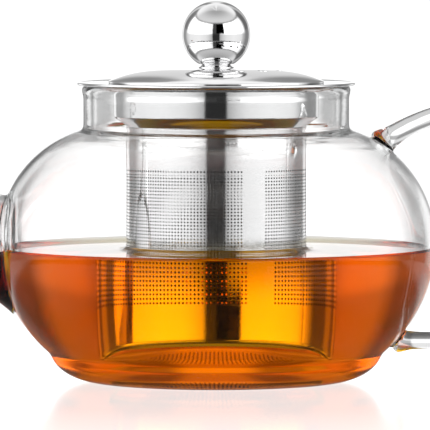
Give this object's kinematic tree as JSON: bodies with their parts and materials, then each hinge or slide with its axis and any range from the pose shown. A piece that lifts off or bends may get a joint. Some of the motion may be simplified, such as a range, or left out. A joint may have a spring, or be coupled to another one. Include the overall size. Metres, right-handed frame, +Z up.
{
  "type": "glass teapot",
  "caption": "Round glass teapot with a curved spout, a glass rod handle, a perforated steel infuser and a domed steel lid with a ball knob.",
  "frame": {"origin": "centre of the flat base, on the surface the pot stands on", "axes": "+Z up along the pot's axis, +X towards the handle, -X towards the spout"},
  "size_m": [0.2222, 0.143, 0.1243],
  "materials": {
    "clear_glass": "polished",
    "polished_steel": "mirror polished stainless steel",
    "perforated_steel": "bright stainless sheet with fine round perforations"
  },
  "bodies": {
    "pot": {"glass_floor": "clear_glass", "glass_bowl": "clear_glass", "glass_lower_belly": "clear_glass", "glass_upper_belly": "clear_glass", "glass_shoulder": "clear_glass", "glass_neck": "clear_glass", "spout": "clear_glass", "handle": "clear_glass"},
    "infuser": {"infuser_collar": "polished_steel", "basket_wall": "perforated_steel", "basket_base": "perforated_steel"},
    "lid": {"lid_dome": "polished_steel", "lid_skirt": "polished_steel", "knob_collar": "polished_steel", "knob_ball": "polished_steel", "knob_screw": "polished_steel"}
  },
  "joints": [
    {"name": "infuser_lift", "type": "slide", "parent": "pot", "child": "infuser", "axis": [0, 0, 1], "range_m": [0, 0.1]},
    {"name": "lid_lift", "type": "slide", "parent": "infuser", "child": "lid", "axis": [0, 0, 1], "range_m": [0, 0.05]}
  ]
}
